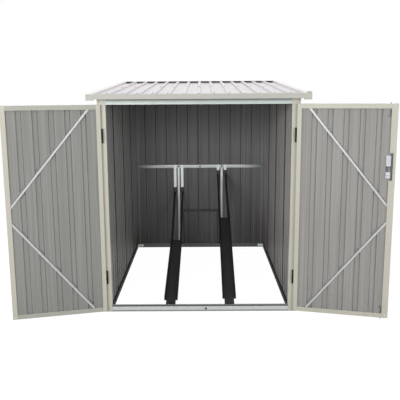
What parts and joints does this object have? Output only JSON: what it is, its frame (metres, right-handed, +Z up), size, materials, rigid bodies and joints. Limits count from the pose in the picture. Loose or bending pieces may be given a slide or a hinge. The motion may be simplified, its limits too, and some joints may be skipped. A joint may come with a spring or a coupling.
{
  "type": "bike shelter",
  "caption": "Metal bike shelter with ribbed sheet walls and roof, two hinged front doors and sloping wheel ramps inside.",
  "frame": {"origin": "middle of the front sill's underside, at ground level", "axes": "+X across the doorway to the right seen from outside, +Y from the doorway to the rear, +Z up"},
  "size_m": [2.7736, 2.1785, 1.773],
  "materials": {
    "cream_painted_frame": "satin cream paint on folded steel",
    "painted_sheet": "grey backing coat on ribbed sheet",
    "roof_sheet": "pale coated ribbed sheet",
    "galvanised_steel": "bright galvanised",
    "dark_painted_steel": "dark paint",
    "hinge_steel": "dark hinge steel",
    "bright_steel": "bright plated"
  },
  "bodies": {
    "shelter": {"base_corner_brackets": "galvanised_steel", "base_rear_rail": "galvanised_steel", "base_side_rails": "galvanised_steel", "bike_ramp_left": "dark_painted_steel", "bike_ramp_right": "dark_painted_steel", "frame_hinges": "hinge_steel", "front_fascia": "cream_painted_frame", "front_post_left": "cream_painted_frame", "front_post_right": "cream_painted_frame", "front_sill": "galvanised_steel", "header_rail": "galvanised_steel", "rack_posts": "galvanised_steel", "ramp_guards": "dark_painted_steel", "ramp_hangers": "galvanised_steel", "rear_corner_posts": "cream_painted_frame", "rear_girt": "galvanised_steel", "rear_wall_left": "painted_sheet", "rear_wall_right": "painted_sheet", "roof_end_caps": "cream_painted_frame", "roof_sheet_left": "roof_sheet", "roof_sheet_right": "roof_sheet", "roof_trim_left": "cream_painted_frame", "roof_trim_rear": "cream_painted_frame", "roof_trim_right": "cream_painted_frame", "side_wall_left": "painted_sheet", "side_wall_right": "painted_sheet", "tie_feet": "galvanised_steel", "tie_frame": "dark_painted_steel", "top_rear_rail": "galvanised_steel", "top_side_rails": "galvanised_steel"},
    "left_door": {"door_left_braces": "galvanised_steel", "door_left_free_stile": "cream_painted_frame", "door_left_hinge_stile": "cream_painted_frame", "door_left_hinges": "hinge_steel", "door_left_panel": "painted_sheet", "door_left_rails": "cream_painted_frame"},
    "right_door": {"door_right_bolts": "bright_steel", "door_right_braces": "galvanised_steel", "door_right_free_stile": "cream_painted_frame", "door_right_handle": "bright_steel", "door_right_hinge_stile": "cream_painted_frame", "door_right_hinges": "hinge_steel", "door_right_lock_case": "bright_steel", "door_right_panel": "painted_sheet", "door_right_rails": "cream_painted_frame"}
  },
  "joints": [
    {"name": "left_door_hinge", "type": "hinge", "parent": "shelter", "child": "left_door", "pos_m": [-0.7035, -0.033, 0.8], "axis": [0, 0, 1], "range_deg": [0, 166]},
    {"name": "right_door_hinge", "type": "hinge", "parent": "shelter", "child": "right_door", "pos_m": [0.7035, -0.033, 0.8], "axis": [0, 0, -1], "range_deg": [0, 166]}
  ]
}
